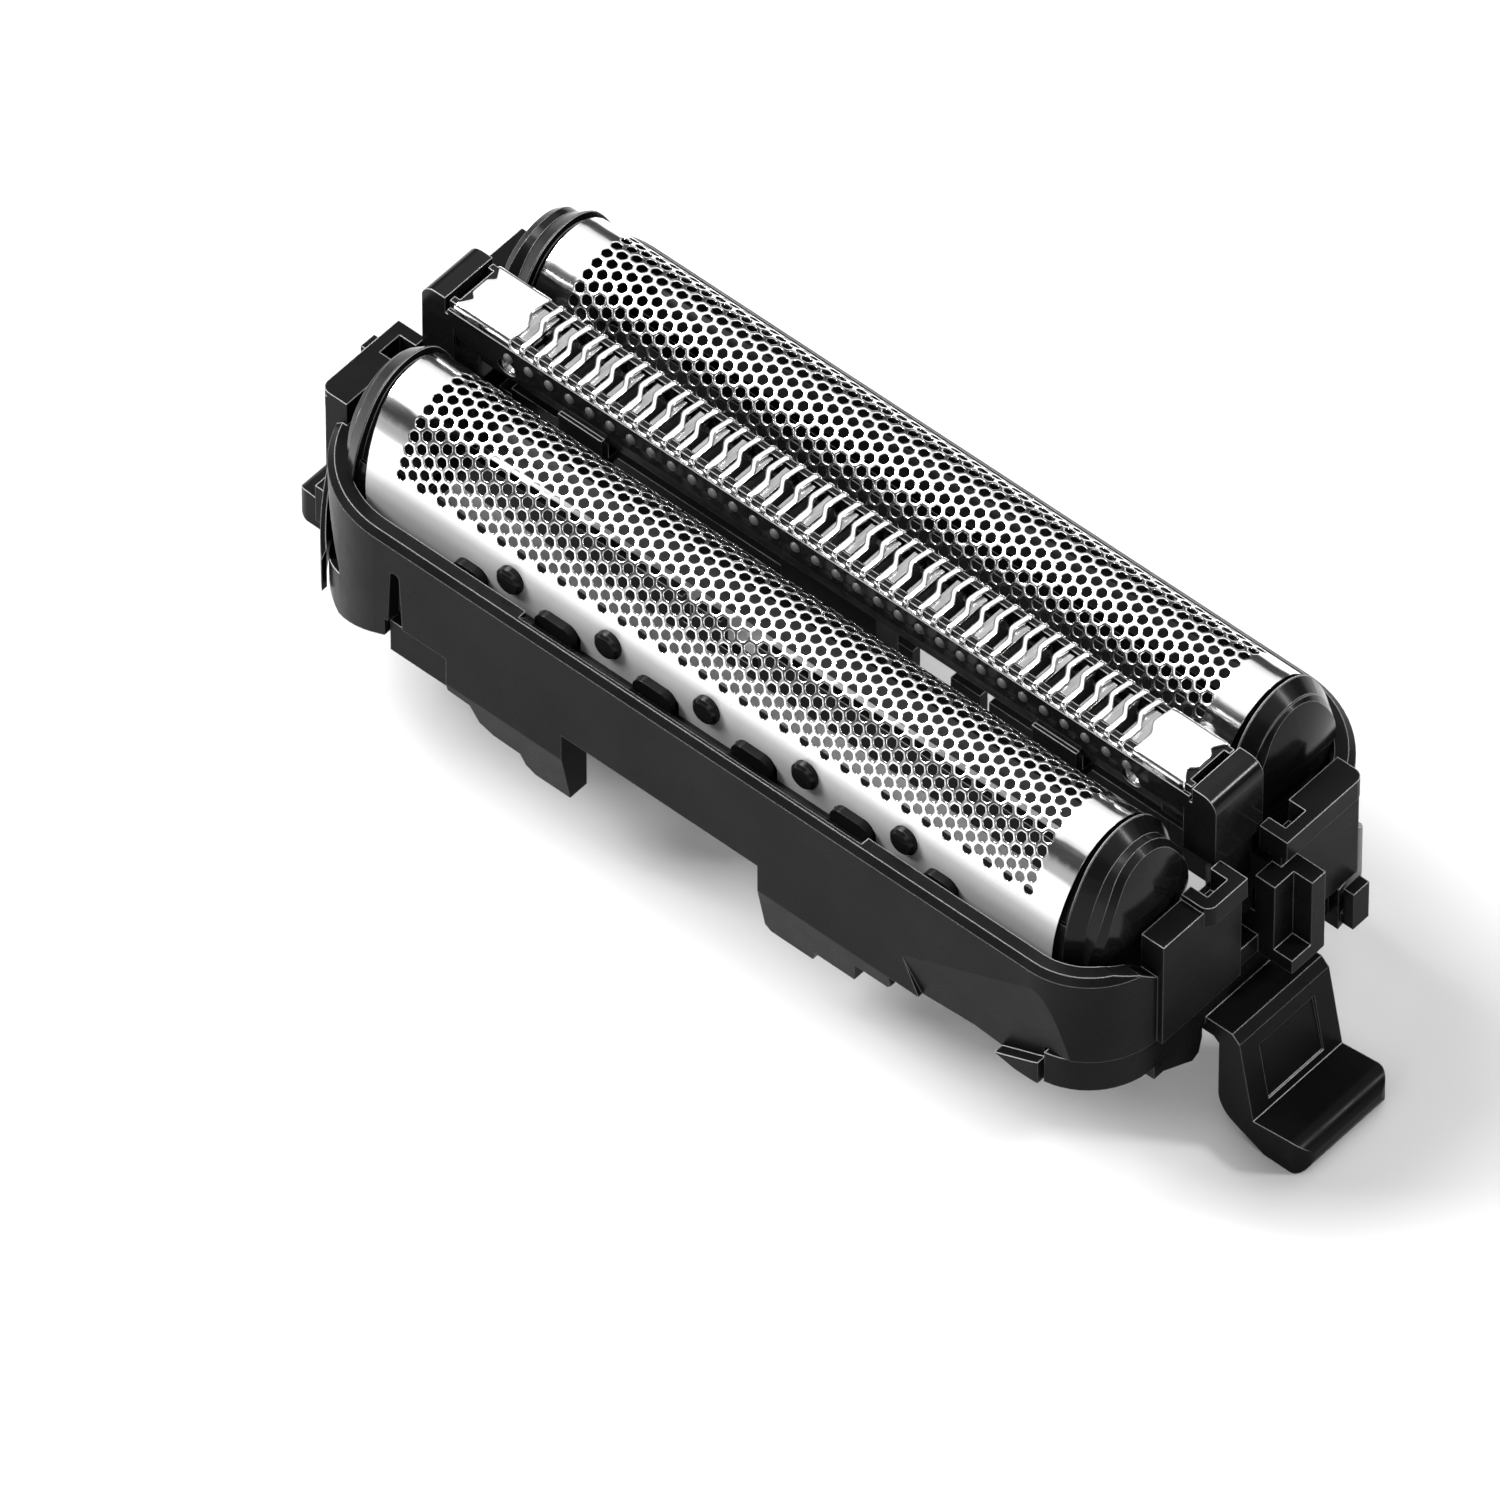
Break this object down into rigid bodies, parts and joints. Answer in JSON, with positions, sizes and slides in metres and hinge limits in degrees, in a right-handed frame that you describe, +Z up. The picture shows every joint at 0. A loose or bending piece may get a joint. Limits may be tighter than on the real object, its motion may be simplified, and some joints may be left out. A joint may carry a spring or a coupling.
{
  "type": "shaver foil head",
  "caption": "Foil head for a dry shaver: two arched perforated foils and a central slit cutter in a black moulded frame with release tabs at the ends.",
  "frame": {"origin": "middle of the head at the level of the soles of the release tabs", "axes": "+X along the foils, +Y across them from the front foil to the rear foil, +Z up through the foils"},
  "size_m": [0.0558, 0.0198, 0.018],
  "materials": {
    "frame_plastic": "satin near-black moulded plastic",
    "holder_plastic": "smooth near-black moulded plastic",
    "carrier_plastic": "plain dark moulded plastic",
    "foil_steel": "bright electroformed foil",
    "slit_steel": "bright stamped steel",
    "blade_steel": "ground steel",
    "pin_steel": "polished steel",
    "spring_steel": "drawn spring wire"
  },
  "bodies": {
    "frame": {"outer_frame": "frame_plastic", "base_frame": "frame_plastic"},
    "front_cassette": {"front_foil": "foil_steel", "front_foil_holder": "holder_plastic"},
    "rear_cassette": {"rear_foil": "foil_steel", "rear_foil_holder": "holder_plastic"},
    "slit_cassette": {"slit_foil": "slit_steel", "slit_foil_holder": "holder_plastic", "slit_pin_left": "pin_steel", "slit_pin_right": "pin_steel", "slit_spring_left": "spring_steel", "slit_spring_right": "spring_steel"},
    "slit_cutter": {"slit_blade": "blade_steel", "slit_blade_carrier": "carrier_plastic"}
  },
  "joints": [
    {"name": "front_float", "type": "slide", "parent": "frame", "child": "front_cassette", "axis": [0, 0, 1], "range_m": [0, 0.0012]},
    {"name": "rear_float", "type": "slide", "parent": "frame", "child": "rear_cassette", "axis": [0, 0, 1], "range_m": [0, 0.0012]},
    {"name": "slit_float", "type": "slide", "parent": "frame", "child": "slit_cassette", "axis": [0, 0, 1], "range_m": [0, 0.0012]},
    {"name": "cutter_stroke", "type": "slide", "parent": "slit_cassette", "child": "slit_cutter", "axis": [1, 0, 0], "range_m": [-0.001, 0.001]}
  ]
}
